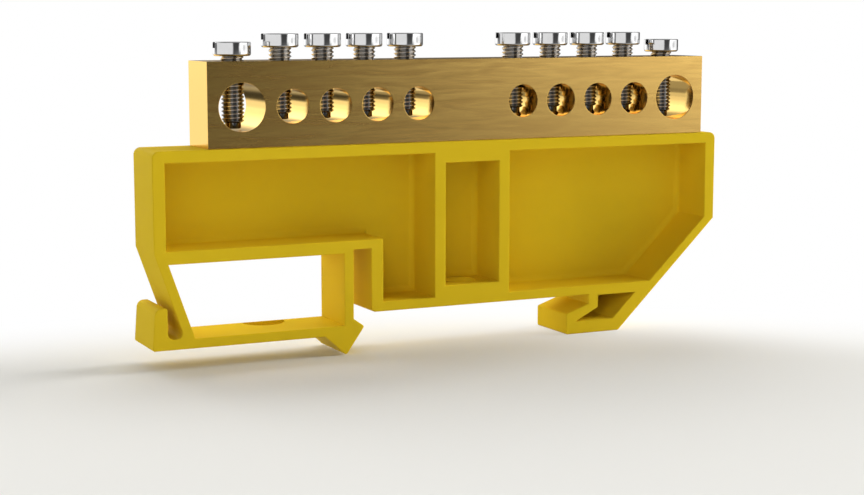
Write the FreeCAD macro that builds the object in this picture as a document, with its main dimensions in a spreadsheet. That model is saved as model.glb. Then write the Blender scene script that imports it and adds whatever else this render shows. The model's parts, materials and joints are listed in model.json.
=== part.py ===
import FreeCAD, Part
import math
import os

import Sketcher

# An earth terminal bar: a drilled brass bar with ten clamp screws, carried by a
# one-piece moulded holder that clips across a 35 mm mounting rail.
#
# Frame, in millimetres: +X runs along the bar, +Y from the open face of the holder
# to its closed back, and +Z up. The origin is under the middle of the whole part,
# on the plane that the holder's two lowest edges stand on.

doc = FreeCAD.newDocument("earth_terminal_bar")

# Driving dimensions
SIZES = [
    ("holder_length", 82.7, "left wall to right wall"),
    ("holder_depth", 8.2, "open face to closed back"),
    ("body_height", 22.0, "top of the holder to the plane the rail lies against"),
    ("hook_drop", 5.4, "rail plane down to the lowest edges"),
    ("web_wall", 1.2, "closed back of the cells"),
    ("side_wall", 1.6, "left and right walls"),
    ("rib_wall", 1.6, "ribs beside the centre cell"),
    ("top_wall", 1.5, "wall under the bar"),
    ("floor_wall", 1.3, "wall above the rail"),
    ("centre_top_wall", 2.8, "thicker wall that the fixing screw pulls against"),
    ("centre_floor_wall", 2.8, "thicker floor of the centre cell"),
    ("centre_cell", 8.0, "width of the centre cell"),
    ("bar_middle", 43.9, "left wall to the middle of the bar and centre cell"),
    ("shelf_drop", 12.4, "top of the holder to the floor of the left cell"),
    ("shelf_wall", 1.65, "wall between the left cell and the window"),
    ("left_wall_height", 12.5, "top of the holder to the bend into the spring wall"),
    ("right_wall_height", 12.3, "top of the holder to the bend into the diagonal"),
    ("spring_wall", 1.25, "slanted wall that lets the latch give"),
    ("leg_wall", 1.3, "upright leg of the latch"),
    ("leg_slot", 2.5, "gap that the leg bends into"),
    ("leg_slot_rise", 0.45, "how far the gap goes above the window"),
    ("step_wall", 1.7, "wall beside that gap"),
    ("rail_inset", 26.6, "left wall to the rail's edge against the leg"),
    ("rail_width", 35.0, "width of the standard rail"),
    ("rail_play", 0.5, "room for the rail between leg and hook"),
    ("latch_gap", 0.7, "rail plane down to the root of the latch's ramp"),
    ("latch_reach", 1.5, "how far the latch goes under the rail"),
    ("latch_ramp", 1.05, "fall of the ramp over that reach"),
    ("latch_nose", 1.1, "leg's face back to the latch's lowest edge"),
    ("latch_root", 4.0, "leg's face back to where the latch leaves the foot"),
    ("foot_lift", 2.65, "lowest edges up to the underside of the foot"),
    ("foot_wall", 1.25, "thickness of the foot"),
    ("tab_wall", 1.6, "finger tab of the latch"),
    ("tab_height", 5.3, "underside of the foot to the top of the tab"),
    ("tab_splay", 0.4, "how far the tab's lower end stands out past the wall"),
    ("release_gap", 2.16, "floor of the notch between tab and spring wall"),
    ("release_floor", 1.35, "wall under that notch"),
    ("notch_gap", 1.3, "rail plane down to the hook's lip at its root"),
    ("notch_wall", 1.5, "wall behind the hook's notch"),
    ("lip_reach", 3.6, "how far the lip goes under the rail"),
    ("lip_fall", 1.2, "fall of the lip over that reach"),
    ("lip_wall", 0.6, "lip between notch and pocket"),
    ("lip_nose", 1.55, "solid nose of the lip"),
    ("hook_length", 8.45, "lip's nose to the foot of the diagonal"),
    ("hook_floor", 1.75, "floor of the hook's pocket"),
    ("hook_roof", 0.2, "rail plane down to the pocket's roof"),
    ("diagonal_wall", 1.3, "diagonal wall beside the right cell"),
    ("hook_diagonal_wall", 1.9, "diagonal wall beside the hook's pocket"),
    ("corner_round", 0.9, "top corners and the tab's top"),
    ("step_round", 0.6, "foot of the step wall"),
    ("notch_round", 0.75, "inside corners of the notch beside the tab"),
    ("small_round", 0.3, "latch, tab and hook edges"),
    ("scoop_radius", 2.9, "half-round recess in the foot"),
    ("scoop_depth", 0.7, "depth of that recess"),
    ("scoop_lip", 0.4, "wall left behind it"),
    ("scoop_inset", 16.8, "left wall to the middle of that recess"),
    ("access_bore", 4.6, "hole for a screwdriver in the centre cell's floor"),
    ("bar_length", 73.2, "brass bar"),
    ("bar_height", 10.8, "brass bar"),
    ("bar_depth", 7.4, "brass bar"),
    ("bore_level", 5.1, "underside of the bar to the middle of the wire holes"),
    ("small_bore", 4.35, "eight wire holes"),
    ("large_bore", 6.15, "wire hole at each end"),
    ("bore_pitch", 5.85, "between neighbouring small holes"),
    ("end_pitch", 6.75, "last small hole to the large one"),
    ("end_inset", 4.55, "large hole to the end of the bar"),
    ("edge_break", 0.15, "chamfer round the ends of the bar"),
    ("thread_size", 2.75, "outside of the screws' thread"),
    ("thread_room", 0.05, "all-round room in the tapped holes"),
    ("shank_length", 9.1, "clamp screw below its head"),
    ("head_size", 4.8, "clamp screw head across"),
    ("head_height", 1.75, "clamp screw head"),
    ("head_round", 0.3, "lower edge of the head"),
    ("head_edge", 0.1, "upper edge of the head"),
    ("dog_size", 2.05, "plain tip of a clamp screw"),
    ("dog_length", 0.55, "plain tip of a clamp screw"),
    ("dog_chamfer", 0.2, "edge of that tip"),
    ("small_screw_offset", 0.33, "small screws stand this far outwards of their wire holes"),
    ("slot_width", 0.8, "screwdriver slot"),
    ("slot_depth", 0.75, "screwdriver slot"),
    ("small_tip_room", 0.05, "tip clear of the bottom of a small wire hole"),
    ("large_tip_room", 0.15, "tip clear of the bottom of a large wire hole"),
    ("fixing_length", 7.0, "fixing screw from tip to the face of its head"),
    ("fixing_head", 5.2, "countersunk head across"),
    ("fixing_cone", 1.2, "height of the countersunk cone"),
    ("fixing_rim", 0.25, "straight rim below the cone"),
    ("fixing_sink", 0.5, "head's face above the centre cell's ceiling"),
    ("fixing_room", 0.2, "all-round room for the shank in the holder"),
    ("fixing_bore_room", 0.8, "tapped hole beyond the fixing screw's tip"),
]

sheet = doc.addObject("Spreadsheet::Sheet", "Sizes")
for row, (alias, value, note) in enumerate(SIZES, start=1):
    sheet.set("A%d" % row, alias)
    sheet.set("B%d" % row, str(value))
    sheet.set("C%d" % row, note)
    sheet.setAlias("B%d" % row, alias)
doc.recompute()

ALIASES = {alias for alias, value, note in SIZES}

# How far an edge may lie from where it is looked for, and the least that a cut removes
NEAR = 0.02
LEAST_CUT = 0.01


def bound(text):
    """Turns a formula of size names into an expression on the sheet's cells."""
    words = []
    for word in text.replace("(", " ( ").replace(")", " ) ").split():
        words.append("Sizes." + word if word in ALIASES else word)
    return " ".join(words).replace("sqrt (", "sqrt(")


def size(text):
    """The present value of a formula of size names."""
    return float(sheet.evalExpression(bound(text)))


# Levels above the lowest edges, and places to the right of the left wall
HOLDER_TOP = "( body_height + hook_drop )"
SHELF = "( body_height + hook_drop - shelf_drop )"
WINDOW_TOP = "( body_height + hook_drop - shelf_drop - shelf_wall )"
CELL_CEILING = "( body_height + hook_drop - top_wall )"
CELL_FLOOR = "( hook_drop + floor_wall )"
FOOT_TOP = "( foot_lift + foot_wall )"
LEFT_BEND = "( body_height + hook_drop - left_wall_height )"
RIGHT_BEND = "( body_height + hook_drop - right_wall_height )"
SLOT_RIGHT = "( rail_inset + leg_slot )"
STEP_RIGHT = "( rail_inset + leg_slot + step_wall )"
HOOK_WALL = "( rail_inset + rail_width + rail_play )"
LIP_ROOT = "( hook_drop - notch_gap )"
LIP_TIP = "( rail_inset + rail_width + rail_play - lip_reach )"
DIAGONAL_FOOT = "( rail_inset + rail_width + rail_play - lip_reach + hook_length )"
CELL_RIGHT = "( holder_length - side_wall )"
WHOLE_MIDDLE = "( ( holder_length - tab_splay ) / 2 )"
NOTCH_FLOOR = "( foot_lift + release_floor )"
TAB_TOP = "( foot_lift + tab_height )"

# Sideways run of the two slanted walls for each millimetre of their height
LEAN = "( ( tab_wall + release_gap ) / ( %s - %s ) )" % (LEFT_BEND, NOTCH_FLOOR)
RUN = "( ( holder_length - %s ) / %s )" % (DIAGONAL_FOOT, RIGHT_BEND)


def outer_spring(level):
    """Distance of the spring wall's outer face from the left wall at a level."""
    return "( ( %s - %s ) * %s )" % (LEFT_BEND, level, LEAN)


def inner_spring(level):
    return "( %s + spring_wall * sqrt( 1 + %s * %s ) )" % (outer_spring(level), LEAN, LEAN)


def inner_diagonal(level, wall):
    """Distance of the diagonal wall's inner face from the left wall at a level."""
    return "( %s + %s * %s - %s * sqrt( 1 + %s * %s ) )" % (DIAGONAL_FOOT, level, RUN, wall, RUN, RUN)


def level_on_diagonal(place, wall):
    return "( ( %s - %s + %s * sqrt( 1 + %s * %s ) ) / %s )" % (place, DIAGONAL_FOOT, wall, RUN, RUN, RUN)


def start_body(name):
    body = doc.addObject("PartDesign::Body", name)
    body.Label = name
    return body


def start_sketch(body, name, role, offset):
    """A sketch on one of the body's own planes, moved by three formulas in its axes."""
    sketch = body.newObject("Sketcher::SketchObject", name)
    plane = [item for item in body.Origin.OriginFeatures if item.Role == role][0]
    sketch.AttachmentSupport = [(plane, "")]
    sketch.MapMode = "FlatFace"
    for axis, text in zip("xyz", offset):
        sketch.setExpression("AttachmentOffset.Base." + axis, bound(text))
    return sketch


def pin_point(sketch, geometry, vertex, across, up):
    """Holds one point of a sketch at two formulas, measured from the sketch's origin."""
    for kind, axis, text in (("DistanceX", -2, across), ("DistanceY", -1, up)):
        if text == "0":
            sketch.addConstraint(Sketcher.Constraint("PointOnObject", geometry, vertex, axis))
        else:
            rule = Sketcher.Constraint(kind, -1, 1, geometry, vertex, size(text))
            number = sketch.addConstraint(rule)
            sketch.setExpression("Constraints[%d]" % number, bound(text))


def draw_outline(sketch, points):
    """A closed run of straight edges through points given as pairs of formulas."""
    first = sketch.GeometryCount
    places = [FreeCAD.Vector(size(across), size(up), 0) for across, up in points]
    count = len(places)
    for index in range(count):
        sketch.addGeometry(Part.LineSegment(places[index], places[(index + 1) % count]), False)
    for index in range(count):
        following = first + (index + 1) % count
        sketch.addConstraint(Sketcher.Constraint("Coincident", first + index, 2, following, 1))
    for index, (across, up) in enumerate(points):
        pin_point(sketch, first + index, 1, across, up)


def draw_circle(sketch, across, up, diameter):
    place = FreeCAD.Vector(size(across), size(up), 0)
    circle = Part.Circle(place, FreeCAD.Vector(0, 0, 1), size(diameter) / 2)
    geometry = sketch.addGeometry(circle, False)
    pin_point(sketch, geometry, 3, across, up)
    number = sketch.addConstraint(Sketcher.Constraint("Diameter", geometry, size(diameter)))
    sketch.setExpression("Constraints[%d]" % number, bound(diameter))


def add_pad(body, name, sketch, length, midplane):
    pad = body.newObject("PartDesign::Pad", name)
    pad.Profile = sketch
    pad.setExpression("Length", bound(length))
    pad.Midplane = midplane
    doc.recompute()
    return pad


def check_cut(body, name, before):
    """A cut that points away from the solid removes nothing and shows no error."""
    if body.Shape.Volume > before - LEAST_CUT:
        raise ValueError(name + " cuts nothing")


def add_pocket(body, name, sketch, length, midplane=False, backwards=False):
    before = body.Shape.Volume
    pocket = body.newObject("PartDesign::Pocket", name)
    pocket.Profile = sketch
    pocket.setExpression("Length", bound(length))
    pocket.Midplane = midplane
    pocket.Reversed = backwards
    doc.recompute()
    check_cut(body, name, before)
    return pocket


def turn_profile(body, kind, name, sketch):
    """A revolution or groove of a sketch about its own upright axis."""
    turned = body.newObject("PartDesign::" + kind, name)
    turned.Profile = sketch
    turned.ReferenceAxis = (sketch, ["V_Axis"])
    turned.Angle = 360
    doc.recompute()
    return turned


def edges_at(body, places):
    """Names of the edges that run through the depth of the holder at given places."""
    left = size("0 - " + WHOLE_MIDDLE)
    found = []
    for number, edge in enumerate(body.Shape.Edges, start=1):
        box = edge.BoundBox
        if box.XLength > NEAR or box.ZLength > NEAR:
            continue
        for across, up in places:
            if abs(box.XMin - left - size(across)) < NEAR and abs(box.ZMin - size(up)) < NEAR:
                found.append("Edge%d" % number)
    return found


def rims_at(body, level, across):
    """Names of the level round edges of a given diameter at a height."""
    found = []
    for number, edge in enumerate(body.Shape.Edges, start=1):
        box = edge.BoundBox
        if abs(box.ZMin - level) < NEAR and box.ZLength < NEAR and abs(box.XLength - across) < NEAR:
            found.append("Edge%d" % number)
    return found


def dress_edges(body, kind, name, names, setting, text):
    """A fillet or chamfer on named edges of the body as it stands."""
    base = body.Tip
    dressing = body.newObject("PartDesign::" + kind, name)
    dressing.Base = (base, names)
    dressing.setExpression(setting, bound(text))
    doc.recompute()
    return dressing


def round_through(body, name, places, radius):
    """Rounds the edges that run through the depth of the holder at given places."""
    names = edges_at(body, places)
    if len(names) < len(places):
        raise ValueError(name + " misses an edge")
    return dress_edges(body, "Fillet", name, names, "Radius", radius)


# The holder, one moulding
FRONT = ("0 - " + WHOLE_MIDDLE, "0", "holder_depth / 2")
MIDDLE = ("0 - " + WHOLE_MIDDLE, "0", "0")

holder = start_body("holder")
outline = start_sketch(holder, "holder_outline", "XZ_Plane", MIDDLE)
draw_outline(outline, [
    ("0", HOLDER_TOP),
    ("0", LEFT_BEND),
    (outer_spring(NOTCH_FLOOR), NOTCH_FLOOR),
    ("tab_wall", NOTCH_FLOOR),
    ("tab_wall", TAB_TOP),
    ("0", TAB_TOP),
    ("0 - tab_splay", "foot_lift"),
    ("rail_inset - latch_root", "foot_lift"),
    ("rail_inset - latch_nose", "0"),
    ("rail_inset + latch_reach", "hook_drop - latch_gap - latch_ramp"),
    ("rail_inset", "hook_drop - latch_gap"),
    ("rail_inset", WINDOW_TOP + " + leg_slot_rise"),
    (SLOT_RIGHT, WINDOW_TOP + " + leg_slot_rise"),
    (SLOT_RIGHT, "hook_drop"),
    (HOOK_WALL, "hook_drop"),
    (HOOK_WALL, LIP_ROOT),
    (LIP_TIP, LIP_ROOT + " - lip_fall"),
    (LIP_TIP, "0"),
    (DIAGONAL_FOOT, "0"),
    ("holder_length", RIGHT_BEND),
    ("holder_length", HOLDER_TOP),
])
add_pad(holder, "holder_block", outline, "holder_depth", True)

window = start_sketch(holder, "window_outline", "XZ_Plane", MIDDLE)
draw_outline(window, [
    (inner_spring(WINDOW_TOP), WINDOW_TOP),
    (inner_spring(FOOT_TOP), FOOT_TOP),
    ("rail_inset - leg_wall", FOOT_TOP),
    ("rail_inset - leg_wall", WINDOW_TOP),
])
add_pocket(holder, "window", window, "holder_depth * 2", midplane=True)

CENTRE_LEFT = "( bar_middle - centre_cell / 2 )"
CENTRE_RIGHT = "( bar_middle + centre_cell / 2 )"
POCKET_LEFT = "( %s + notch_wall )" % HOOK_WALL

cells = start_sketch(holder, "cell_outlines", "XZ_Plane", FRONT)
draw_outline(cells, [
    ("side_wall", CELL_CEILING),
    ("side_wall", SHELF),
    (STEP_RIGHT, SHELF),
    (STEP_RIGHT, CELL_FLOOR),
    (CENTRE_LEFT + " - rib_wall", CELL_FLOOR),
    (CENTRE_LEFT + " - rib_wall", CELL_CEILING),
])
draw_outline(cells, [
    (CENTRE_LEFT, HOLDER_TOP + " - centre_top_wall"),
    (CENTRE_LEFT, "hook_drop + centre_floor_wall"),
    (CENTRE_RIGHT, "hook_drop + centre_floor_wall"),
    (CENTRE_RIGHT, HOLDER_TOP + " - centre_top_wall"),
])
draw_outline(cells, [
    (CENTRE_RIGHT + " + rib_wall", CELL_CEILING),
    (CENTRE_RIGHT + " + rib_wall", CELL_FLOOR),
    (inner_diagonal(CELL_FLOOR, "diagonal_wall"), CELL_FLOOR),
    (CELL_RIGHT, level_on_diagonal(CELL_RIGHT, "diagonal_wall")),
    (CELL_RIGHT, CELL_CEILING),
])
draw_outline(cells, [
    (POCKET_LEFT, "hook_drop - hook_roof"),
    (POCKET_LEFT, LIP_ROOT + " - lip_wall"),
    (LIP_TIP + " + lip_nose", "hook_floor"),
    (inner_diagonal("hook_floor", "hook_diagonal_wall"), "hook_floor"),
    (inner_diagonal("( hook_drop - hook_roof )", "hook_diagonal_wall"), "hook_drop - hook_roof"),
])
add_pocket(holder, "cells", cells, "holder_depth - web_wall")

access = start_sketch(holder, "access_outline", "XY_Plane", ("0 - " + WHOLE_MIDDLE, "0", "hook_drop"))
draw_circle(access, "bar_middle", "0", "access_bore")
add_pocket(holder, "access_hole", access, "centre_floor_wall", backwards=True)

scoop = start_sketch(holder, "scoop_outline", "XY_Plane", ("0 - " + WHOLE_MIDDLE, "0", FOOT_TOP))
SCOOP_BACK = "( holder_depth / 2 - scoop_lip )"
scoop_centre = FreeCAD.Vector(size("scoop_inset"), size(SCOOP_BACK), 0)
half_round = Part.Circle(scoop_centre, FreeCAD.Vector(0, 0, 1), size("scoop_radius"))
scoop.addGeometry(Part.ArcOfCircle(half_round, math.pi, 2 * math.pi), False)
scoop.addGeometry(Part.LineSegment(
    scoop_centre + FreeCAD.Vector(size("scoop_radius"), 0, 0),
    scoop_centre - FreeCAD.Vector(size("scoop_radius"), 0, 0)), False)
scoop.addConstraint(Sketcher.Constraint("Coincident", 0, 2, 1, 1))
scoop.addConstraint(Sketcher.Constraint("Coincident", 1, 2, 0, 1))
scoop.addConstraint(Sketcher.Constraint("PointOnObject", 0, 3, 1))
scoop.addConstraint(Sketcher.Constraint("Horizontal", 1))
pin_point(scoop, 0, 3, "scoop_inset", SCOOP_BACK)
scoop_size = scoop.addConstraint(Sketcher.Constraint("Radius", 0, size("scoop_radius")))
scoop.setExpression("Constraints[%d]" % scoop_size, bound("scoop_radius"))
add_pocket(holder, "foot_scoop", scoop, "scoop_depth")

# Countersink for the fixing screw, drawn as half of its section
SEAT_LEVEL = "( %s - centre_top_wall + fixing_sink )" % HOLDER_TOP
countersink = start_sketch(
    holder, "countersink_section", "XZ_Plane", ("bar_middle - " + WHOLE_MIDDLE, "0", "0"))
draw_outline(countersink, [
    ("0", HOLDER_TOP + " - centre_top_wall"),
    ("fixing_head / 2", HOLDER_TOP + " - centre_top_wall"),
    ("fixing_head / 2", SEAT_LEVEL + " + fixing_rim"),
    ("thread_size / 2 + fixing_room", SEAT_LEVEL + " + fixing_rim + fixing_cone"),
    ("thread_size / 2 + fixing_room", HOLDER_TOP),
    ("0", HOLDER_TOP),
])
uncut = holder.Shape.Volume
turn_profile(holder, "Groove", "countersink", countersink)
check_cut(holder, "countersink", uncut)

round_through(holder, "top_rounds", [
    ("0", HOLDER_TOP),
    ("holder_length", HOLDER_TOP),
    ("0", TAB_TOP),
], "corner_round")
round_through(holder, "step_foot_round", [(SLOT_RIGHT, "hook_drop")], "step_round")
round_through(holder, "notch_rounds", [
    (outer_spring(NOTCH_FLOOR), NOTCH_FLOOR),
    ("tab_wall", NOTCH_FLOOR),
], "notch_round")
round_through(holder, "edge_rounds", [
    ("tab_wall", TAB_TOP),
    ("0 - tab_splay", "foot_lift"),
    ("rail_inset - latch_nose", "0"),
    ("rail_inset + latch_reach", "hook_drop - latch_gap - latch_ramp"),
    (LIP_TIP, LIP_ROOT + " - lip_fall"),
    (LIP_TIP, "0"),
    (DIAGONAL_FOOT, "0"),
], "small_round")

# The brass bar, drilled across for wires and tapped from above for the screws
# Each way in is the wire hole's place and size, its screw's offset, the tip's room and the side
SMALL_WAYS = 4
ways_in = []
for side in ("-", "+"):
    place = "0 %s ( bar_length / 2 - end_inset )" % side
    ways_in.append((place, "large_bore", "0", "large_tip_room", side))
    for step in range(SMALL_WAYS):
        place = "0 %s ( bar_length / 2 - end_inset - end_pitch - bore_pitch * %d )" % (side, step)
        ways_in.append((place, "small_bore", "small_screw_offset", "small_tip_room", side))
ways_in.sort(key=lambda way: size(way[0]))

BAR_ORIGIN = ("bar_middle - " + WHOLE_MIDDLE, HOLDER_TOP, "0")
BAR_TOP = ("bar_middle - " + WHOLE_MIDDLE, "0", HOLDER_TOP + " + bar_height")
BAR_FOOT = ("bar_middle - " + WHOLE_MIDDLE, "0", HOLDER_TOP)

bar = start_body("brass_bar")
section = start_sketch(bar, "bar_outline", "XZ_Plane", BAR_ORIGIN)
draw_outline(section, [
    ("0 - bar_length / 2", "0"),
    ("bar_length / 2", "0"),
    ("bar_length / 2", "bar_height"),
    ("0 - bar_length / 2", "bar_height"),
])
add_pad(bar, "bar_block", section, "bar_depth", True)

end_edges = []
for number, edge in enumerate(bar.Shape.Edges, start=1):
    if edge.BoundBox.XLength < NEAR:
        end_edges.append("Edge%d" % number)
dress_edges(bar, "Chamfer", "end_chamfer", end_edges, "Size", "edge_break")

bores = start_sketch(bar, "wire_hole_outlines", "XZ_Plane", BAR_ORIGIN)
for place, bore, offset, room, side in ways_in:
    draw_circle(bores, place, "bore_level", bore)
add_pocket(bar, "wire_holes", bores, "bar_depth * 2", midplane=True)

taps = start_sketch(bar, "tapped_hole_outlines", "XY_Plane", BAR_TOP)
for place, bore, offset, room, side in ways_in:
    draw_circle(taps, "%s %s %s" % (place, side, offset), "0", "thread_size + thread_room * 2")
add_pocket(bar, "tapped_holes", taps, "bar_height - bore_level")

FIXING_GRIP = "( fixing_length - centre_top_wall + fixing_sink )"
fixing_tap = start_sketch(bar, "fixing_hole_outline", "XY_Plane", BAR_FOOT)
draw_circle(fixing_tap, "0", "0", "thread_size + thread_room * 2")
add_pocket(bar, "fixing_hole", fixing_tap, FIXING_GRIP + " + fixing_bore_room", backwards=True)


def clamp_screw(name, place, bore, offset, room, side):
    """A slotted screw with rounded head edges and a plain tip, its head's seat at zero."""
    body = start_body(name)
    half = start_sketch(body, name + "_section", "XZ_Plane", ("0", "0", "0"))
    draw_outline(half, [
        ("0", "0 - shank_length"),
        ("dog_size / 2 - dog_chamfer", "0 - shank_length"),
        ("dog_size / 2", "dog_chamfer - shank_length"),
        ("dog_size / 2", "dog_length - shank_length"),
        ("thread_size / 2", "dog_length - shank_length"),
        ("thread_size / 2", "0"),
        ("head_size / 2", "0"),
        ("head_size / 2", "head_height"),
        ("0", "head_height"),
    ])
    turn_profile(body, "Revolution", name + "_turned", half)
    for rim, level, radius in (("lower", 0, "head_round"), ("upper", size("head_height"), "head_edge")):
        names = rims_at(body, level, size("head_size"))
        dress_edges(body, "Fillet", "%s_%s_rim" % (name, rim), names, "Radius", radius)
    slot = start_sketch(body, name + "_slot_outline", "XY_Plane", ("0", "0", "head_height"))
    draw_outline(slot, [
        ("0 - head_size", "0 - slot_width / 2"),
        ("head_size", "0 - slot_width / 2"),
        ("head_size", "slot_width / 2"),
        ("0 - head_size", "slot_width / 2"),
    ])
    add_pocket(body, name + "_slot", slot, "slot_depth")
    # The tip's corner meets the round wall of the wire hole before the tip's middle does
    corner = "( dog_size / 2 - dog_chamfer + %s )" % offset
    drop = "sqrt( %s * %s / 4 - %s * %s )" % (bore, bore, corner, corner)
    level = "%s + bore_level - %s + %s + shank_length" % (HOLDER_TOP, drop, room)
    across = "bar_middle - %s + %s %s %s" % (WHOLE_MIDDLE, place, side, offset)
    body.setExpression("Placement.Base.x", bound(across))
    body.setExpression("Placement.Base.z", bound(level))
    return body


screws = []
for number, way in enumerate(ways_in, start=1):
    screws.append(clamp_screw("clamp_screw_%02d" % number, *way))

# The countersunk screw that holds the bar down, put in through the access hole
fixing = start_body("fixing_screw")
fixing_half = start_sketch(fixing, "fixing_section", "XZ_Plane", ("0", "0", "0"))
draw_outline(fixing_half, [
    ("0", "0"),
    ("fixing_head / 2", "0"),
    ("fixing_head / 2", "fixing_rim"),
    ("thread_size / 2", "fixing_rim + fixing_cone"),
    ("thread_size / 2", "fixing_length"),
    ("0", "fixing_length"),
])
turn_profile(fixing, "Revolution", "fixing_turned", fixing_half)
fixing_slot = start_sketch(fixing, "fixing_slot_outline", "XY_Plane", ("0", "0", "0"))
draw_outline(fixing_slot, [
    ("0 - fixing_head", "0 - slot_width / 2"),
    ("fixing_head", "0 - slot_width / 2"),
    ("fixing_head", "slot_width / 2"),
    ("0 - fixing_head", "slot_width / 2"),
])
add_pocket(fixing, "fixing_slot", fixing_slot, "slot_depth", backwards=True)
fixing.setExpression("Placement.Base.x", bound("bar_middle - " + WHOLE_MIDDLE))
fixing.setExpression("Placement.Base.z", bound(SEAT_LEVEL))

doc.recompute()

# Every object has to be sound before any file is written
for item in doc.Objects:
    if "Invalid" in item.State or "Error" in item.State:
        raise ValueError(item.Name + " did not recompute")

pieces = [holder, bar] + screws + [fixing]
for piece in pieces:
    if piece.Shape.isNull() or not piece.Shape.isValid() or len(piece.Shape.Solids) != 1:
        raise ValueError(piece.Label + " is not one sound solid")

os.makedirs("parts", exist_ok=True)
for piece in pieces:
    piece.Shape.exportStep("parts/%s.step" % piece.Label)
    box = piece.Shape.BoundBox
    print("%s: %.2f x %.2f x %.2f mm, %.1f cubic mm" % (
        piece.Label, box.XLength, box.YLength, box.ZLength, piece.Shape.Volume))
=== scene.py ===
# %% [markdown]
# # An earth terminal bar
#
# An earth terminal bar joins the earth wires of a distribution board. Each wire goes into a hole in a brass
# bar, a screw clamps it there, and a yellow moulding carries the bar and clips across a mounting rail. The
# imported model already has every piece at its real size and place. This lesson gives each piece its finish,
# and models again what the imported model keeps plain: the screws' threads, the drilled bar and the softened
# edges.

# %% Load the fixed frame
import json
import math

import bpy
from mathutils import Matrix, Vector


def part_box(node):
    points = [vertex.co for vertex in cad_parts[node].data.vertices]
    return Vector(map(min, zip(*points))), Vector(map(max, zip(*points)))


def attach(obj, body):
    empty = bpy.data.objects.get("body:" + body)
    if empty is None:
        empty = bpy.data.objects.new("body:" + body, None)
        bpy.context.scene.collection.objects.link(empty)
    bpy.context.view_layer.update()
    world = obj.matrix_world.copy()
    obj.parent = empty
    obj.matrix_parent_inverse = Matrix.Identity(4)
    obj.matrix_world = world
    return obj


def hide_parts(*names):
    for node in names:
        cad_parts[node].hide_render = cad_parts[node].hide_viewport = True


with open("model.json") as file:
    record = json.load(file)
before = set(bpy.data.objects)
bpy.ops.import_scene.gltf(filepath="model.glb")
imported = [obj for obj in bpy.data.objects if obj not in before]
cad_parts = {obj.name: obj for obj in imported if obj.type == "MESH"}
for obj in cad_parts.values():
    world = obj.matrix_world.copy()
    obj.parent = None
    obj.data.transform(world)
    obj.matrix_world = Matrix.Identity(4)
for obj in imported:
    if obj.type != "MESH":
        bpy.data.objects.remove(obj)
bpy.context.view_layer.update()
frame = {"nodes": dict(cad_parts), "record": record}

MM = 0.001
CARRIER = "holder_and_bar"
SCREWS = sorted(node for node in frame["nodes"] if node.startswith("clamp_screw"))

# %% [markdown]
# ## Selecting by place
#
# An operator acts on all that is selected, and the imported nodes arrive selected. So every step first
# selects one piece and nothing else. In edit mode the faces and edges are picked by a test on where they
# lie, which does what a mouse would do, and does it the same way each time.

# %% Select one piece, and some of its edges or faces


def only(piece):
    """Selects one piece and nothing else."""
    bpy.ops.object.select_all(action="DESELECT")
    piece.select_set(True)
    bpy.context.view_layer.objects.active = piece


def open_unselected(piece, kind):
    """Opens a piece in edit mode with nothing in it selected."""
    only(piece)
    bpy.ops.object.mode_set(mode="EDIT")
    bpy.ops.mesh.select_mode(type=kind)
    bpy.ops.mesh.select_all(action="DESELECT")


def choose(piece, kind, test):
    """Opens a piece in edit mode with those edges or faces selected that pass a test."""
    open_unselected(piece, kind)
    bpy.ops.object.mode_set(mode="OBJECT")
    parts = piece.data.edges if kind == "EDGE" else piece.data.polygons
    for part in parts:
        part.select = test([piece.data.vertices[number].co for number in part.vertices])
    bpy.ops.object.mode_set(mode="EDIT")


def choose_sharp(piece, degrees, test):
    """Opens a piece in edit mode with its sharp edges selected, where both their ends pass a test."""
    open_unselected(piece, "EDGE")
    bpy.ops.mesh.edges_select_sharp(sharpness=math.radians(degrees))
    bpy.ops.object.mode_set(mode="OBJECT")
    for edge in piece.data.edges:
        edge.select = edge.select and test([piece.data.vertices[number].co for number in edge.vertices])
    bpy.ops.object.mode_set(mode="EDIT")


# %% Round what is chosen
SAME_PLACE = 0.01 * MM


def near(value, target):
    """True where two places along an axis are the same."""
    return abs(value - target) < SAME_PLACE


def round_chosen(width, steps):
    """Bevels the chosen edges and leaves edit mode. One step makes a chamfer, and more make a round."""
    bpy.ops.mesh.bevel(offset=width, segments=steps, affect="EDGES", clamp_overlap=False)
    bpy.ops.object.mode_set(mode="OBJECT")


def round_level(piece, level, width, steps):
    """Bevels every edge of a piece that lies at one height."""
    choose(piece, "EDGE", lambda ends: all(near(end.z, level) for end in ends))
    round_chosen(width, steps)


# %% [markdown]
# ## Reckoning with sockets
#
# A finish is a graph of nodes, and most of its nodes are arithmetic. It reads better as arithmetic. The
# small class below holds one socket and answers Python's operators by adding Math nodes, so a mask can be
# turned over with 1 - mask. Every other node comes from the one method of the finish.

# %% A socket that can be reckoned with


class Level:
    """A number, colour or vector that varies over a surface."""

    def __init__(self, finish, socket):
        self.finish = finish
        self.socket = socket

    def reckon(self, operation, first, second):
        """Adds a Math node and gives its result."""
        return self.finish.node("Math", {"operation": operation}, {0: first, 1: second})

    def __add__(self, other):
        return self.reckon("ADD", self, other)

    def __radd__(self, other):
        return self.reckon("ADD", other, self)

    def __sub__(self, other):
        return self.reckon("SUBTRACT", self, other)

    def __rsub__(self, other):
        return self.reckon("SUBTRACT", other, self)

    def __mul__(self, other):
        return self.reckon("MULTIPLY", self, other)

    def __rmul__(self, other):
        return self.reckon("MULTIPLY", other, self)


# %% The finish that it belongs to


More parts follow.
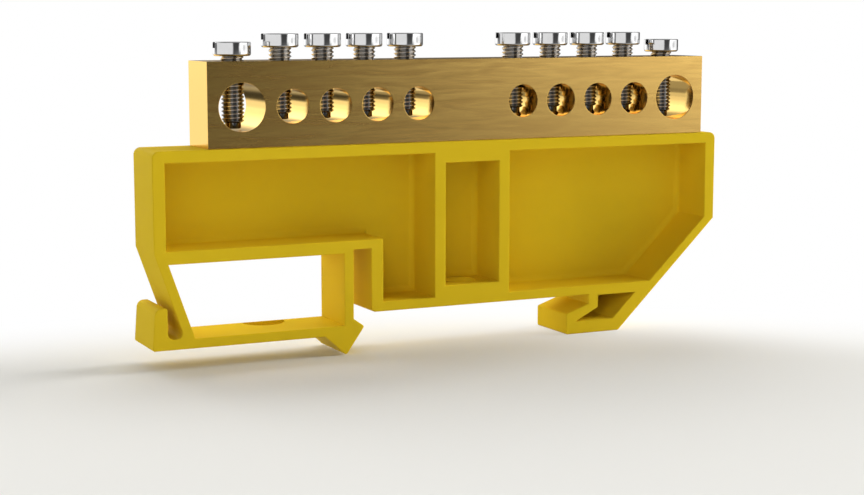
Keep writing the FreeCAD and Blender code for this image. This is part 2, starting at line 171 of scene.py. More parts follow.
class Finish:
    """The nodes of a material or of the world."""

    def __init__(self, owner):
        owner.use_nodes = True
        self.owner = owner
        self.tree = owner.node_tree
        self.tree.nodes.clear()

    def node(self, kind, settings=None, sockets=None, output=0):
        """Adds a node, makes its settings first and then fills or links its sockets."""
        made = self.tree.nodes.new("ShaderNode" + kind)
        for name, value in (settings or {}).items():
            if name == "stops":
                stops = made.color_ramp.elements
                while len(stops) < len(value):
                    stops.new(1.0)
                for stop, (place, colour) in zip(stops, value):
                    stop.position = place
                    stop.color = colour
            else:
                setattr(made, name, value)
        for name, value in (sockets or {}).items():
            if isinstance(value, Level):
                self.tree.links.new(value.socket, made.inputs[name])
            else:
                made.inputs[name].default_value = value
        return Level(self, made.outputs[output]) if made.outputs else None

    def along(self, place, axis):
        """One axis of a place or direction, as a number."""
        return self.node("SeparateXYZ", None, {0: place}, output=axis)

    def noise(self, per_mm, detail, distortion=0.0):
        """Noise on the piece's own coordinates, with so many features to the millimetre along X, Y and Z."""
        place = self.node("TexCoord", output="Object")
        scale = tuple(count / MM for count in per_mm)
        stretched = self.node("VectorMath", {"operation": "MULTIPLY"}, {0: place, 1: scale})
        return self.node("TexNoise", None, {
            "Vector": stretched, "Scale": 1.0, "Detail": detail, "Distortion": distortion})

    def spread(self, value, low, high, start=0.0, end=1.0):
        """Stretches a value's range from low and high to start and end, with soft shoulders."""
        return self.node("MapRange", {"interpolation_type": "SMOOTHSTEP"}, {
            "Value": value, "From Min": low, "From Max": high, "To Min": start, "To Max": end})

    def between(self, share, first, second):
        """A colour between two, by a share from 0 to 1."""
        return self.node("Mix", {"data_type": "RGBA"}, {0: share, 6: first, 7: second}, output=2)

    def bump(self, height, depth):
        """A normal from a height that varies between 0 and 1, over a depth in metres."""
        return self.node("Bump", None, {"Strength": 1.0, "Distance": depth, "Height": height})

    def finished(self, surface, output="OutputMaterial"):
        """Links the surface to the output, and gives back the material or the world."""
        self.node(output, None, {"Surface": surface})
        print(self.owner.name, "has", len(self.tree.nodes), "nodes")
        return self.owner

    def principled(self, sockets):
        """Ends the finish with the shader that suits both plastic and metal."""
        return self.finished(self.node("BsdfPrincipled", None, sockets))


def grey(level):
    """A colour without hue."""
    return (level, level, level, 1)


def dress(piece, material):
    """Gives a piece its finish."""
    piece.data.materials.append(material)
    return piece


# %% [markdown]
# ## Yellow plastic
#
# The holder is a hard, satin thermoplastic in a deep yellow. Its colour is almost even: the resin flows a
# little unevenly, and the mould's spark-eroded skin leaves a grain of about a tenth of a millimetre. So the
# colour has one slow variation, and the grain goes into roughness and a very low bump.

# %% The holder's finish
RESIN_DEEP = (0.77, 0.54, 0.016, 1)
RESIN_LIGHT = (0.83, 0.58, 0.022, 1)
GRAIN_DEPTH = 0.004 * MM


def yellow_plastic():
    """Satin plastic with a slow change of colour and a fine grain."""
    finish = Finish(bpy.data.materials.new("yellow_plastic"))
    flow = finish.noise((0.06, 0.06, 0.14), 2.0, 0.6)
    grain = finish.noise((9.0, 9.0, 9.0), 2.0)
    return finish.principled({
        "Base Color": finish.between(flow, RESIN_DEEP, RESIN_LIGHT),
        "Roughness": 0.46 + 0.08 * grain + 0.06 * flow,
        "Specular IOR Level": 0.02,
        "Normal": finish.bump(grain, GRAIN_DEPTH)})


holder_plastic = yellow_plastic()

# %% [markdown]
# ## Drawn brass
#
# Drawn brass comes off the die with fine lines along its length. Handling leaves cloudy smears that are
# longer than they are high, and here and there a patch of curling scratches. The scratches are the ridges
# of a noise, where its value passes one half. All three show more in how sharply the face mirrors the room
# than in its colour, so they go into the roughness and a low bump as well. The left half of this bar has
# been handled more, so the marks fade to the right. The sawn ends are plainer, and a painted highlight
# makes them brighter. Seen along its surface a plain metal shader turns white, but brass keeps its colour
# there, so the finish has a tint for that.

# %% The finish of the bar's faces
GRAZING_TINT = (1.0, 0.92, 0.72, 1)
BRASS_DEEP = (0.64, 0.392, 0.11, 1)
BRASS_LIGHT = (1.0, 0.66, 0.19, 1)
HANDLED_UP_TO = -20 * MM
CLEANER_FROM = 25 * MM
EVEN = 0.42
# Painted highlight: the share of light brass on the sawn ends, which also keeps them plain.
SAWN_PLAIN_AND_HIGHLIT = 0.9
MARK_DEPTH = 0.0022 * MM


def drawn_brass():
    """Brass with smears, drawn lines and curling scratches, plainer where it was sawn and with a painted
    highlight there.
    """
    finish = Finish(bpy.data.materials.new("drawn_brass"))
    smears = finish.spread(finish.noise((0.10, 0.5, 0.9), 3.0, 1.0), 0.32, 0.68)
    lines = finish.spread(finish.noise((0.22, 3.0, 4.5), 3.0), 0.30, 0.70)
    curls = finish.noise((0.30, 0.5, 0.7), 1.0, 2.5)
    off_ridge = finish.node("Math", {"operation": "ABSOLUTE"}, {0: curls - 0.5})
    ridge = finish.spread(off_ridge, 0.0, 0.03, 1.0, 0.0)
    patch = finish.spread(finish.noise((0.10, 0.2, 0.25), 1.0), 0.48, 0.62)
    facing = finish.along(finish.node("TexCoord", output="Normal"), "X")
    # The sawn ends, facing along X, are plain and carry a painted highlight.
    sawn_plain_and_highlit = finish.spread(facing * facing, 0.5, 0.9)
    length = finish.along(finish.node("TexCoord", output="Object"), "X")
    handled = finish.spread(length, HANDLED_UP_TO, CLEANER_FROM, 1.7, 0.5)
    marks = 0.58 * smears + 0.20 * lines + 0.22 * ridge * patch
    drawn = EVEN + handled * (marks - EVEN)
    share = drawn + sawn_plain_and_highlit * (SAWN_PLAIN_AND_HIGHLIT - drawn)
    return finish.principled({
        "Base Color": finish.between(share, BRASS_DEEP, BRASS_LIGHT),
        "Metallic": 1.0,
        "Roughness": 0.26 - 0.10 * share,
        "Specular Tint": GRAZING_TINT,
        "Normal": finish.bump(share, MARK_DEPTH)})


face_brass = drawn_brass()

# %% [markdown]
# ## Burnished brass
#
# A drill burnishes the wall of its hole, so the wall mirrors more sharply than the drawn face, with faint
# rings from the drill's turning. The holes run along Y, so the noise is tight along Y and stretched across
# it, which makes rings of it in every hole at once.

# %% The finish of the holes' walls
WALL_DEEP = (0.89, 0.58, 0.17, 1)
WALL_LIGHT = (0.96, 0.65, 0.21, 1)
RING_DEPTH = 0.0015 * MM


def burnished_brass():
    """Smooth brass with faint rings about the Y axis."""
    finish = Finish(bpy.data.materials.new("burnished_brass"))
    rings = finish.noise((0.5, 7.0, 0.5), 3.0)
    return finish.principled({
        "Base Color": finish.between(rings, WALL_DEEP, WALL_LIGHT),
        "Metallic": 1.0,
        "Roughness": 0.10 + 0.08 * rings,
        "Specular Tint": GRAZING_TINT,
        "Normal": finish.bump(rings, RING_DEPTH)})


bore_brass = burnished_brass()

# %% [markdown]
# ## Plated steel
#
# The screws are steel with a bright plating. It mirrors the room sharply on the turned head. The thread is
# the same metal but duller, and painted shade darkens it down in the groove and on the tip, where little
# light reaches. How deep each point lies is written into the mesh later, as an attribute. More painted
# shade darkens the lower part of the shank, which stands down in the bar. Fine turning lines run round the
# head, so the pattern is stretched along X and Y and tight along Z.

# %% The screws' two finishes
GROOVE = "groove"
HEAD_SHADES = (grey(0.78), grey(0.90))
THREAD_SHADES = ((0.76, 0.75, 0.75, 1), (0.94, 0.93, 0.93, 1))
# Painted shade: the dark grey that the thread takes on down in its groove and on the tip.
GROOVE_SHADE = (0.28, 0.275, 0.26, 1)
# Painted shade: a near black mixed into the shank where it stands down in the bar.
LOW_SHANK_SHADE = (0.04, 0.038, 0.035, 1)
SHANK_SHADE_BELOW = 34 * MM
UNSHADED_ABOVE = 37 * MM
TURNING_DEPTH = 0.0003 * MM


def plated_steel(name, shades, roughness):
    """Plated steel between two shades, with painted shade down in the groove and low on the shank."""
    finish = Finish(bpy.data.materials.new(name))
    film = finish.noise((0.8, 0.8, 0.8), 3.0, 0.5)
    lines = finish.noise((0.3, 0.3, 12.0), 2.0)
    depth = finish.node("Attribute", {"attribute_name": GROOVE}, output="Fac")
    # Painted shade, mixed in by how deep each point lies in the groove.
    metal_and_groove_shade = finish.between(depth, finish.between(film, *shades), GROOVE_SHADE)
    height = finish.along(finish.node("TexCoord", output="Object"), "Z")
    # Painted shade on the shank below the bar's top, fading out above it.
    shank_shade_share = finish.spread(height, SHANK_SHADE_BELOW, UNSHADED_ABOVE, 0.22, 0.0)
    return finish.principled({
        "Base Color": finish.between(shank_shade_share, metal_and_groove_shade, LOW_SHANK_SHADE),
        "Metallic": 1.0,
        "Roughness": roughness + 0.04 * film + 0.03 * lines,
        "Normal": finish.bump(lines, TURNING_DEPTH)})


bright_steel = plated_steel("bright_steel", HEAD_SHADES, 0.05)
dull_steel = plated_steel("dull_steel", THREAD_SHADES, 0.16)

# %% [markdown]
# ## Solid beginnings
#
# Most of these pieces start on the bench as bar stock: a block or a rod, which is then drilled, slotted and
# deburred. The same order works in Blender. A block or rod is added at its size and place, a Boolean
# modifier does the drilling, and a bevel breaks the edges. Each tool wears the finish that it leaves
# behind, and the modifier passes that on to the faces it cuts, so a drilled wall is told from a drawn face
# without a search.

# %% Blocks and rods
ROD_SIDES = 64


def settle(name):
    """Names a new primitive and puts its place, turn and size into its mesh."""
    piece = bpy.context.object
    piece.name = name
    only(piece)
    bpy.ops.object.transform_apply(location=True, rotation=True, scale=True)
    return piece


def block(name, low, high, material):
    """A cuboid between two corners."""
    bpy.ops.mesh.primitive_cube_add(size=1, location=(low + high) / 2)
    bpy.context.object.scale = high - low
    return dress(settle(name), material)


def rod(name, start, end, radius, material, end_radius=None, sides=ROD_SIDES):
    """A rod between two points, or a cone where its end has another radius."""
    run = end - start
    turn = run.to_track_quat("Z", "Y").to_euler()
    bpy.ops.mesh.primitive_cone_add(
        vertices=sides, radius1=radius, radius2=radius if end_radius is None else end_radius,
        depth=run.length, location=(start + end) / 2, rotation=turn)
    return dress(settle(name), material)


# %% Cutting and joining


def combine(piece, tools, operation):
    """Cuts tools from a piece, joins them to it or keeps what they share, and clears the tools away."""
    bpy.ops.object.select_all(action="DESELECT")
    for tool in tools:
        tool.select_set(True)
    bpy.context.view_layer.objects.active = tools[0]
    if len(tools) > 1:
        bpy.ops.object.join()
    modifier = piece.modifiers.new("combine", "BOOLEAN")
    modifier.operation = operation
    modifier.solver = "EXACT"
    modifier.material_mode = "TRANSFER"
    modifier.object = tools[0]
    only(piece)
    bpy.ops.object.modifier_apply(modifier=modifier.name)
    bpy.data.objects.remove(tools[0])
    return piece


# %% [markdown]
# ## Smooth rounds beside flat faces
#
# A turned or moulded surface is smooth where it curves and flat where it doesn't. Smooth shading alone
# would bend the light on a flat face beside a round. So the normals are weighed by the faces' areas, and
# the broad faces win. In square metres these areas are too small to weigh, so the piece is a thousand times
# larger meanwhile.

# %% Shading a finished piece


def resize(piece, factor):
    """Scales the mesh of the selected piece about the origin."""
    piece.scale = (factor, factor, factor)
    bpy.ops.object.transform_apply(location=False, rotation=False, scale=True)


def shade(piece, crease):
    """Smooths a piece across its edges below a crease angle, and keeps its broad faces flat."""
    only(piece)
    bpy.ops.object.shade_smooth_by_angle(angle=math.radians(crease))
    resize(piece, 1 / MM)
    modifier = piece.modifiers.new("broad_faces", "WEIGHTED_NORMAL")
    modifier.keep_sharp = True
    bpy.ops.object.modifier_apply(modifier=modifier.name)
    resize(piece, MM)
    triangles = sum(len(face.vertices) - 2 for face in piece.data.polygons)
    print(piece.name, "has", triangles, "triangles")
    return piece


# %% [markdown]
# ## The moulded holder
#
# The holder is one injection moulding, and a mould leaves no knife edges: each rim has a small round that
# catches the light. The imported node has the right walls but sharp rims. Its mesh is loose triangles, so a
# copy is merged into whole faces. The front face is then pushed back by the round's radius and brought
# forward again in three insets that follow a quarter circle, and the back face likewise. An inset follows
# every rim at once, round the cells too, where a bevel of so many short edges leaves spikes. Deep in the
# cells, where the walls meet the closed back, a fillet lets the resin flow and the moulding leave its
# mould.

# %% A copy of whole faces
MERGE = 0.002 * MM
LEVEL_WITHIN = math.radians(0.5)


def merged_copy(node, name):
    """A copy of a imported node's mesh with its loose triangles joined into whole faces."""
    piece = bpy.data.objects.new(name, frame["nodes"][node].data.copy())
    bpy.context.scene.collection.objects.link(piece)
    piece.data.materials.clear()
    only(piece)
    bpy.ops.mesh.customdata_custom_splitnormals_clear()
    bpy.ops.object.mode_set(mode="EDIT")
    bpy.ops.mesh.select_all(action="SELECT")
    bpy.ops.mesh.remove_doubles(threshold=MERGE)
    bpy.ops.mesh.dissolve_limited(angle_limit=LEVEL_WITHIN)
    bpy.ops.object.mode_set(mode="OBJECT")
    return piece


holder = merged_copy("holder", "holder_moulding")
print(holder.name, "has", len(holder.data.polygons), "whole faces")

# %% Its fillets and softened rims
RIM_ROUND = 0.15 * MM
RIM_TURNS = (0, 30, 60, 90)
BACK_WALL = 1.2 * MM
FILLET = 0.8 * MM
FILLET_STEPS = 5
CELLS_FROM = 6.0 * MM
HOLDER_CREASE = 40


def round_rims(piece, level, inward):
    """Rounds every rim of the faces that lie at one level of Y."""
    choose(piece, "FACE", lambda corners: all(near(corner.y, level) for corner in corners))
    bpy.ops.transform.translate(value=(0, inward * RIM_ROUND, 0))
    curve = [(RIM_ROUND * (1 - math.cos(math.radians(turn))), RIM_ROUND * math.sin(math.radians(turn)))
             for turn in RIM_TURNS]
    for (last_in, last_out), (far_in, far_out) in zip(curve, curve[1:]):
        bpy.ops.mesh.inset(thickness=far_in - last_in, depth=far_out - last_out)
    bpy.ops.object.mode_set(mode="OBJECT")


HOLDER_LOW, HOLDER_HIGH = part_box("holder")
CELL_BACK = HOLDER_HIGH.y - BACK_WALL
choose(holder, "EDGE", lambda ends: all(near(end.y, CELL_BACK) and end.z > CELLS_FROM for end in ends))
round_chosen(FILLET, FILLET_STEPS)
round_rims(holder, HOLDER_LOW.y, 1)
round_rims(holder, HOLDER_HIGH.y, -1)
dress(holder, holder_plastic)
shade(holder, HOLDER_CREASE)

# %% [markdown]
# ## The drilled bar
#
# The bar is drawn brass, cut to length and drilled: ten holes across it for the wires, ten from above for
# the clamp screws and one from below for the fixing screw. The wire holes' places and sizes come from the
# record's mounts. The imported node's holes have few sides, and their walls mirror the floor, so the bar is
# drilled again with finely divided rods. After drilling, every mouth is deburred with a narrow bevel.

# %% The wire holes
BAR_LOW, BAR_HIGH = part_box("brass_bar")
WIRE_HOLES = [mount for mount in frame["record"]["mounts"] if mount["name"].startswith("wire_hole")]
PAST = 1.0 * MM
BORE_SIDES = 96

bar = block("bar", BAR_LOW, BAR_HIGH, face_brass)
drills = []
for hole in WIRE_HOLES:
    place = Vector(hole["pos_m"])
    reach = Vector((0, (BAR_HIGH.y - BAR_LOW.y) / 2 + PAST, 0))
    radius = hole["dims"]["r_mm"] * MM
    drills.append(rod("drill", place - reach, place + reach, radius, bore_brass, sides=BORE_SIDES))
combine(bar, drills, "DIFFERENCE")
print("The bar has", len(WIRE_HOLES), "wire holes")

# %% The tapped holes
TAP_RADIUS = 1.50 * MM
TAP_SIDES = 48
FIXING_TAP_DEPTH = 5.5 * MM
BORE_LEVEL = WIRE_HOLES[0]["pos_m"][2]


def middle(node):
    """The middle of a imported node's box."""
    low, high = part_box(node)
    return (low + high) / 2


def tap(node, low, high):
    """The tool that makes the tapped hole for a screw, between two heights."""
    foot = Vector((middle(node).x, 0, low))
    top = Vector((middle(node).x, 0, high))
    return rod("tap", foot, top, TAP_RADIUS, bore_brass, sides=TAP_SIDES)


taps = [tap(node, BORE_LEVEL, BAR_HIGH.z + PAST) for node in SCREWS]
taps.append(tap("fixing_screw", BAR_LOW.z - PAST, BAR_LOW.z + FIXING_TAP_DEPTH))
combine(bar, taps, "DIFFERENCE")
print("The bar has", len(taps), "tapped holes")

# %% The deburred mouths
DEBURR = 0.06 * MM
DEBURR_STEPS = 2
MOUTH_SHARP = 50
BAR_CREASE = 35


def on_outside(ends):
    """True for an edge that lies in one of the bar's six faces."""
    for axis in range(3):
        for level in (BAR_LOW[axis], BAR_HIGH[axis]):
            if all(near(end[axis], level) for end in ends):
                return True
    return False


choose_sharp(bar, MOUTH_SHARP, on_outside)
round_chosen(DEBURR, DEBURR_STEPS)
shade(bar, BAR_CREASE)

# %% [markdown]
# ## Threads
#
# A thread is one tooth's outline, swept round and up at once. A rolled thread has no sharp crests, so the
# outline of a single pitch is one wave. It is drawn by extruding from one point, and the Screw modifier
# sweeps it as many turns as the screw needs and welds each turn to the next.

# %% The wave of one pitch
PITCH = 0.5 * MM
CREST = 1.47 * MM
ROOT = 1.24 * MM
WAVE_POINTS = 10


def draw_profile(name, points):
    """A chain of edges through points, extruded from one corner of a plane."""
    bpy.ops.mesh.primitive_plane_add(size=MM)
    piece = settle(name)
    bpy.ops.object.mode_set(mode="EDIT")
    bpy.ops.mesh.select_mode(type="VERT")
    bpy.ops.mesh.select_all(action="SELECT")
    bpy.ops.mesh.merge(type="CENTER")
    bpy.ops.transform.translate(value=points[0])
    for start, end in zip(points, points[1:]):
        bpy.ops.mesh.extrude_vertices_move(TRANSFORM_OT_translate={"value": end - start})
    bpy.ops.object.mode_set(mode="OBJECT")
    return dress(piece, dull_steel)


def draw_wave(name, start):
    """The thread's outline from root to crest and back, over one pitch up from a height."""
    wave = []
    for number in range(WAVE_POINTS + 1):
        share = number / WAVE_POINTS
        radius = ROOT + (CREST - ROOT) * (1 - math.cos(2 * math.pi * share)) / 2
        wave.append(Vector((radius, 0, start + share * PITCH)))
    return draw_profile(name, wave)


# %% The sweep, closed into a rod
THREAD_STEPS = 32
SPARE = 2 * PITCH


def swept_thread(name, low, high):
    """A closed threaded rod about the Z axis, with some turns to spare past both heights."""
    start = low - SPARE
    piece = draw_wave(name, start)
    modifier = piece.modifiers.new("turns", "SCREW")
    modifier.axis = "Z"
    modifier.screw_offset = PITCH
    modifier.iterations = math.ceil((high - start + SPARE) / PITCH) - 1
    modifier.steps = THREAD_STEPS
    modifier.render_steps = THREAD_STEPS
    modifier.use_merge_vertices = True
    modifier.merge_threshold = MERGE
    bpy.ops.object.modifier_apply(modifier=modifier.name)
    bpy.ops.object.mode_set(mode="EDIT")
    bpy.ops.mesh.select_all(action="SELECT")
    bpy.ops.mesh.remove_doubles(threshold=MERGE)
    bpy.ops.mesh.select_all(action="SELECT")
    bpy.ops.mesh.fill_holes(sides=0)
    bpy.ops.mesh.select_all(action="SELECT")
    bpy.ops.mesh.normals_make_consistent(inside=False)
    bpy.ops.object.mode_set(mode="OBJECT")
    return piece


# %% [markdown]
# ## Cutting a thread to length
#
# A screw's blank is cut to length and chamfered at its end, so that the thread starts easily in its hole.
# The swept thread gets the same shape from what it shares with such a blank. After that each point's depth
# in the groove is written into the mesh, for the painted shade in the groove to follow.

# %% A thread of a given length
BLANK_RADIUS = CREST + 0.02 * MM
LEAD_IN = 0.25 * MM


def thread(name, low, high):
    """A threaded rod about the Z axis between two heights, chamfered at its lower end."""
    foot = Vector((0, 0, low))
    top = Vector((0, 0, high))
    blank = rod("blank", foot, top, BLANK_RADIUS, dull_steel, sides=THREAD_STEPS)
    round_level(blank, low, LEAD_IN, 1)
    return combine(swept_thread(name, low, high), [blank], "INTERSECT")


def mark_grooves(piece, low, high):
    """Writes how deep each point of a shank lies, from 0 on a crest to 1 at a root or on the tip."""
    depths = []
    for vertex in piece.data.vertices:
        depth = (CREST - vertex.co.xy.length) / (CREST - ROOT)
        depths.append(max(0.0, min(1.0, depth)) if low < vertex.co.z < high else 0.0)
    piece.data.attributes.new(GROOVE, "FLOAT", "POINT").data.foreach_set("value", depths)
    print(piece.name, "has", sum(depth > 0.5 for depth in depths), "points in its groove")


# %% [markdown]
# ## The clamp screws
#
# All ten clamp screws are the same: a slotted cylindrical head with a rounded lower edge, a thread and a
# short plain tip that presses on the wire. One is modelled with the seat of its head at zero, and each
# screw is a copy with a mesh of its own, moved to where the frame has it.

# %% The sizes of a clamp screw
HEAD_RADIUS = 2.4 * MM
HEAD_HEIGHT = 1.75 * MM
HEAD_ROUND = 0.3 * MM
HEAD_ROUND_STEPS = 5
HEAD_EDGE = 0.1 * MM
HEAD_EDGE_STEPS = 2
SLOT_WIDTH = 0.8 * MM
SLOT_DEPTH = 0.75 * MM
SAW_REACH = 4 * MM
SHANK = 9.1 * MM
INTO_HEAD = 0.5 * MM
TIP_RADIUS = 1.025 * MM
TIP_LENGTH = 0.75 * MM
TIP_CHAMFER = 0.1 * MM
TIP_SIDES = 40
ORIGIN = Vector((0, 0, 0))

# %% One clamp screw


def slotted(piece, bottom, top):
    """Saws a screwdriver slot along X through a head, between two heights."""
    low = Vector((-SAW_REACH, -SLOT_WIDTH / 2, bottom))
    high = Vector((SAW_REACH, SLOT_WIDTH / 2, top))
    return combine(piece, [block("saw", low, high, bright_steel)], "DIFFERENCE")


def clamp_screw():
    """A clamp screw with the seat of its head at zero."""
    head = rod("head", ORIGIN, Vector((0, 0, HEAD_HEIGHT)), HEAD_RADIUS, bright_steel)
    round_level(head, 0, HEAD_ROUND, HEAD_ROUND_STEPS)
    round_level(head, HEAD_HEIGHT, HEAD_EDGE, HEAD_EDGE_STEPS)
    slotted(head, HEAD_HEIGHT - SLOT_DEPTH, HEAD_HEIGHT + PAST)
    foot = Vector((0, 0, -SHANK))
    root = Vector((0, 0, TIP_LENGTH - SHANK + PITCH))
    tip = rod("tip", foot, root, TIP_RADIUS, bright_steel, sides=TIP_SIDES)
    round_level(tip, -SHANK, TIP_CHAMFER, 1)
    shank = thread("shank", TIP_LENGTH - SHANK, INTO_HEAD)
    combine(shank, [tip], "UNION")
    combine(shank, [head], "UNION")
    mark_grooves(shank, -SHANK - MERGE, 0)
    return shank


pattern = clamp_screw()

# %% A copy of it for each tapped hole
SCREW_CREASE = 50


def placed(pattern, name, shift):
    """A shaded copy of a piece with its own mesh, moved within that mesh."""
    piece = bpy.data.objects.new(name, pattern.data.copy())
    bpy.context.scene.collection.objects.link(piece)
    only(piece)
    bpy.ops.object.mode_set(mode="EDIT")
    bpy.ops.mesh.select_all(action="SELECT")
    bpy.ops.transform.translate(value=shift)
    bpy.ops.object.mode_set(mode="OBJECT")
    return shade(piece, SCREW_CREASE)


clamp_screws = {}
for node in SCREWS:
    seat = Vector((middle(node).x, 0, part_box(node)[1].z - HEAD_HEIGHT))
    clamp_screws[node] = placed(pattern, node + "_threaded", seat)
bpy.data.objects.remove(pattern)

# %% [markdown]
# ## The fixing screw
#
# A countersunk screw comes up through the holder and holds the bar down. It sits upside down in the ceiling
# of the middle cell, where a screwdriver reaches it through the hole below. Its head is a thin rim and a
# cone, and the cone ends between the thread's root and crest, so that the two join without a gap.

# %% The countersunk head
FIXING_HEAD_RADIUS = 2.6 * MM
FIXING_RIM = 0.25 * MM
FIXING_CONE = 1.2 * MM
FIXING_NECK = (CREST + ROOT) / 2

rim_top = Vector((0, 0, FIXING_RIM))
cone_top = rim_top + Vector((0, 0, FIXING_CONE))
fixing_head = rod("fixing_head", ORIGIN, rim_top, FIXING_HEAD_RADIUS, bright_steel)
fixing_cone = rod("fixing_cone", rim_top, cone_top, FIXING_HEAD_RADIUS, bright_steel, end_radius=FIXING_NECK)
combine(fixing_head, [fixing_cone], "UNION")
slotted(fixing_head, -PAST, SLOT_DEPTH)
print("The countersunk head is", round(cone_top.z / MM, 2), "mm high")

# %% Its thread and its place
fixing_low, fixing_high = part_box("fixing_screw")
fixing_length = fixing_high.z - fixing_low.z
fixing_shank = thread("fixing_shank", FIXING_RIM + FIXING_CONE / 2, fixing_length)
combine(fixing_shank, [fixing_head], "UNION")
mark_grooves(fixing_shank, cone_top.z, fixing_length)
fixing_seat = Vector((middle("fixing_screw").x, 0, fixing_low.z))
fixing = placed(fixing_shank, "fixing_screw_threaded", fixing_seat)
bpy.data.objects.remove(fixing_shank)

# %% [markdown]
# ## What moves with what
#
# The frame decides what moves. Each screw rides on its own body, which slides up out of the bar, and all
# the rest rides on the body that holds the bar. A piece that stands for an imported node hides that node.
# The table also lists the slot of the record that the piece's finish belongs to, but nothing here reads it.

# %% Ride, and hide the imported nodes
RIDERS = [(holder, CARRIER, "holder", "holder_plastic"),
          (bar, CARRIER, "brass_bar", "bar_brass"),
          (fixing, CARRIER, "fixing_screw", "screw_steel")]
for node, piece in clamp_screws.items():
    RIDERS.append((piece, node, node, "screw_steel"))
for piece, body, node, slot in RIDERS:
    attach(piece, body)
    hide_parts(node)

# %% [markdown]
# ## The floor
#
# The part stands on a plain pale floor. Near the part and in front of it, it is an ordinary matt surface
# that takes the shadow. Further off it turns into plain white, so that no horizon shows. That white is for
# the camera alone and puts no light on the part, and the metal sees the studio below in place of the floor.

# %% The floor
FLOOR_HALF = 2.5
FLOOR_COLOUR = (0.81, 0.803, 0.768, 1)
POOL_MIDDLE = (-52 * MM, -128 * MM, 0)
WHITE_FROM = 129 * MM
WHITE_BY = 165 * MM


def pale_floor():
    """Matt near the part, and plain white to the camera further off."""
    finish = Finish(bpy.data.materials.new("pale_floor"))
    place = finish.node("TexCoord", output="Object")
    distance = finish.node(
        "VectorMath", {"operation": "DISTANCE"}, {0: place, 1: POOL_MIDDLE}, output="Value")
    seen = finish.node("LightPath", output="Is Camera Ray")
    through = finish.node("LightPath", output="Is Transmission Ray")
    matt = finish.node("BsdfDiffuse", None, {"Color": FLOOR_COLOUR})
    white = finish.node("Emission", None, {"Color": grey(1), "Strength": 1.0})
    away = finish.spread(distance, WHITE_FROM, WHITE_BY) * (seen + through)
    return finish.finished(finish.node("MixShader", None, {0: away, 1: matt, 2: white}))


bpy.ops.mesh.primitive_plane_add(size=2 * FLOOR_HALF)
floor = dress(settle("floor"), pale_floor())
floor.visible_glossy = False

# %% [markdown]
# ## The studio
#
# Metal shows what stands round it, so a studio is mostly what the metal sees. The world holds that room,
# for mirrored rays only, as rings at rising heights. Each ring gives levels by bearing, where 0 is straight
# out from the front of the part, 90 its right and 180 behind it. In front a black screen makes the screws'
# dark core, with a pale wall at its left and windows at its right, which also shade the face of the bar
# from dark to light. Two black posts behind, one at each side, edge the heads. The wall behind is bright
# for the end of the bar and for the bores, and low down on it a black strip puts the dark band into the
# bores. The ceiling is dark, so that the bar's top is dark too.

# %% The rings of the room, from the floor up
UNDER = [(0, 0.40)]
STRIP = [(-180, 0.35), (-174, 0.05), (-165, 0.05), (-158, 0.28), (-140, 0.33), (-110, 0.50),
         (-26, 0.50), (-15, 0.10), (25, 0.15), (42, 1.20), (75, 1.20), (95, 0.40), (120, 0.25),
         (168, 0.24), (174, 0.38), (180, 0.35)]
BELOW = [(-180, 0.90), (-164, 1.15), (-154, 1.15), (-146, 0.75), (-135, 0.60), (-125, 0.15),
         (-116, 0.85), (-16, 0.85), (-9, 0.08), (18, 0.16), (30, 0.25), (36, 0.50), (42, 1.60),
         (55, 1.90), (75, 1.60), (95, 0.80), (110, 0.25), (150, 0.20), (166, 0.25), (180, 0.90)]
AT_EYE_LEVEL = [(-180, 1.25), (-152, 1.25), (-146, 0.85), (-140, 0.12), (-122, 0.12), (-116, 0.82),
                (-14, 0.82), (-8, 0.06), (22, 0.06), (28, 1.20), (48, 1.20), (52, 0.62), (68, 0.62),
                (72, 1.12), (97, 1.05), (103, 0.12), (150, 0.12), (164, 0.60), (180, 1.25)]
ABOVE = [(-180, 1.50), (-160, 1.50), (-154, 1.40), (-146, 0.95), (-135, 0.70), (-125, 0.15),
         (-116, 0.85), (-16, 0.85), (-9, 0.06), (18, 0.05), (27, 0.08), (34, 2.00), (42, 2.30),
         (55, 2.00), (75, 1.50), (95, 0.80), (108, 0.12), (158, 0.15), (165, 0.60), (172, 1.30),
         (180, 1.50)]
HIGH = [(-180, 2.20), (-162, 2.00), (-152, 1.40), (-140, 1.10), (-125, 0.30), (-110, 0.50),
        (-20, 0.50), (-8, 0.06), (26, 0.10), (42, 1.50), (75, 1.20), (95, 0.40), (120, 0.15),
        (150, 0.22), (162, 0.30), (168, 0.50), (176, 1.30), (180, 2.20)]
TOP = [(-180, 1.20), (-172, 1.70), (-155, 1.70), (-140, 0.80), (-120, 0.15), (150, 0.20),
       (166, 0.45), (176, 0.70), (180, 1.20)]
CEILING = [(0, 0.08)]
RINGS = [(-24, -21, STRIP), (-13.5, -8, BELOW), (-2.0, -1.2, AT_EYE_LEVEL), (0.4, 0.8, ABOVE),
         (8, 18, HIGH), (23, 30, TOP), (45, 60, CEILING)]
print("The room has", len(RINGS), "rings above the floor's")

# %% The room that the metal mirrors
FILL = 0.02


def sine(degrees):
    """The sine of an angle in degrees."""
    return math.sin(math.radians(degrees))


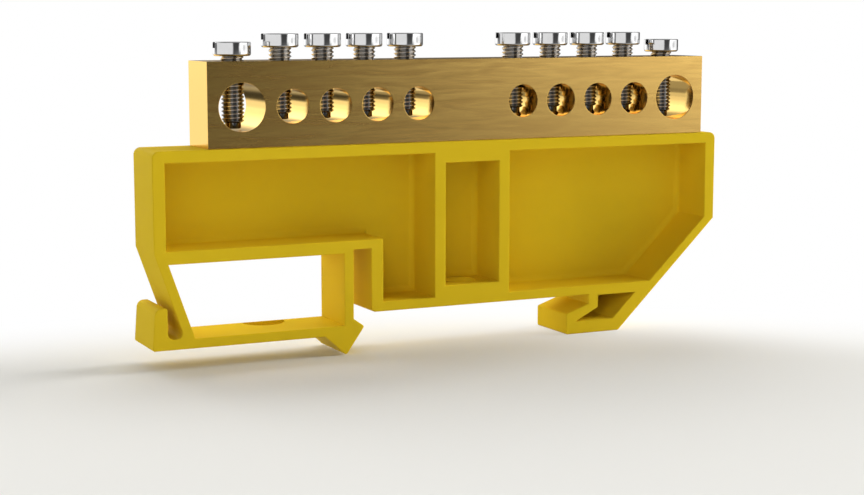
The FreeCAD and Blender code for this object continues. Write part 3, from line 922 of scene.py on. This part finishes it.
def studio():
    """A world that shows mirrored rays the room, the camera plain white, and all else hardly any light."""
    finish = Finish(bpy.data.worlds.new("studio"))
    way = finish.node("TexCoord", output="Generated")
    across = finish.along(way, "X")
    ahead = 0 - finish.along(way, "Y")
    bearing = finish.node("Math", {"operation": "ARCTAN2"}, {0: across, 1: ahead})
    turn = bearing * (1 / (2 * math.pi)) + 0.5

    def picture(levels):
        """One ring of the room, as grey levels by bearing."""
        stops = [((degrees + 180) / 360, grey(level)) for degrees, level in levels]
        return finish.node("ValToRGB", {"stops": stops}, {0: turn})

    rise = finish.along(way, "Z")
    room = picture(UNDER)
    for low, high, levels in RINGS:
        room = finish.between(finish.spread(rise, sine(low), sine(high)), room, picture(levels))
    seen = finish.node("LightPath", output="Is Camera Ray")
    mirrored = finish.node("LightPath", output="Is Glossy Ray")
    plain = finish.between(seen, grey(FILL), grey(1))
    colour = finish.between(mirrored, plain, room)
    light = finish.node("Background", None, {"Color": colour, "Strength": 1.0})
    return finish.finished(light, "OutputWorld")


bpy.context.scene.world = studio()

# %% [markdown]
# ## The lamps
#
# Four soft lamps light the matt surfaces. The strongest stands at the right and low, so that the part
# throws a long soft shadow to the left along the floor. One behind and one behind at the left brighten the
# floor and the tops of the walls, and a weak one at the front left opens the cells. The metal doesn't
# mirror them.

# %% Four soft lamps
LAMPS = [("right", 88, 22, 23.5),
         ("back", 165, 45, 8.6),
         ("front_left", -30, 20, 4.1),
         ("back_left", -150, 20, 8.2)]
LAMP_DISTANCE = 1.20
LAMP_SIZE = 1.00
AIM = Vector((0, 0, 20 * MM))


def toward(bearing, height):
    """The direction at a bearing and a height, both in degrees."""
    level = sine(90 - height)
    return Vector((sine(bearing) * level, -sine(90 - bearing) * level, sine(height)))


for name, bearing, height, watts in LAMPS:
    glow = bpy.data.lights.new(name, "AREA")
    glow.shape = "SQUARE"
    glow.size = LAMP_SIZE
    glow.energy = watts
    lamp = bpy.data.objects.new(name, glow)
    bpy.context.scene.collection.objects.link(lamp)
    lamp.location = AIM + LAMP_DISTANCE * toward(bearing, height)
    lamp.rotation_euler = (AIM - lamp.location).to_track_quat("-Z", "Y").to_euler()
    lamp.visible_camera = False
    lamp.visible_glossy = False
    print(name, "lamp at", [round(side, 3) for side in lamp.location])

# %% [markdown]
# ## The camera
#
# The camera stands where the picture was taken from: low, to the left of the bar's middle, and far enough
# for a mild perspective. Its place and turn were fitted to measured edges of the part, and are written in
# millimetres and degrees.

# %% The camera
FOCAL_LENGTH = 70.193
SENSOR = 36.0
STAND = Vector((-99.44, -202.87, 43.66)) * MM
TURN_RIGHT = 25.806
TILT_DOWN = 7.795
ROLL = -0.017
NEAREST = 1 * MM

lens = bpy.data.cameras.new("camera")
lens.lens = FOCAL_LENGTH
lens.sensor_width = SENSOR
lens.clip_start = NEAREST
camera = bpy.data.objects.new("camera", lens)
bpy.context.scene.collection.objects.link(camera)
camera.location = STAND
camera.rotation_euler = (math.radians(90 - TILT_DOWN), math.radians(ROLL), -math.radians(TURN_RIGHT))
bpy.context.scene.camera = camera
bpy.context.scene.view_settings.view_transform = "Standard"
print("The camera stands", round(STAND.length / MM), "mm from the middle of the part's foot")
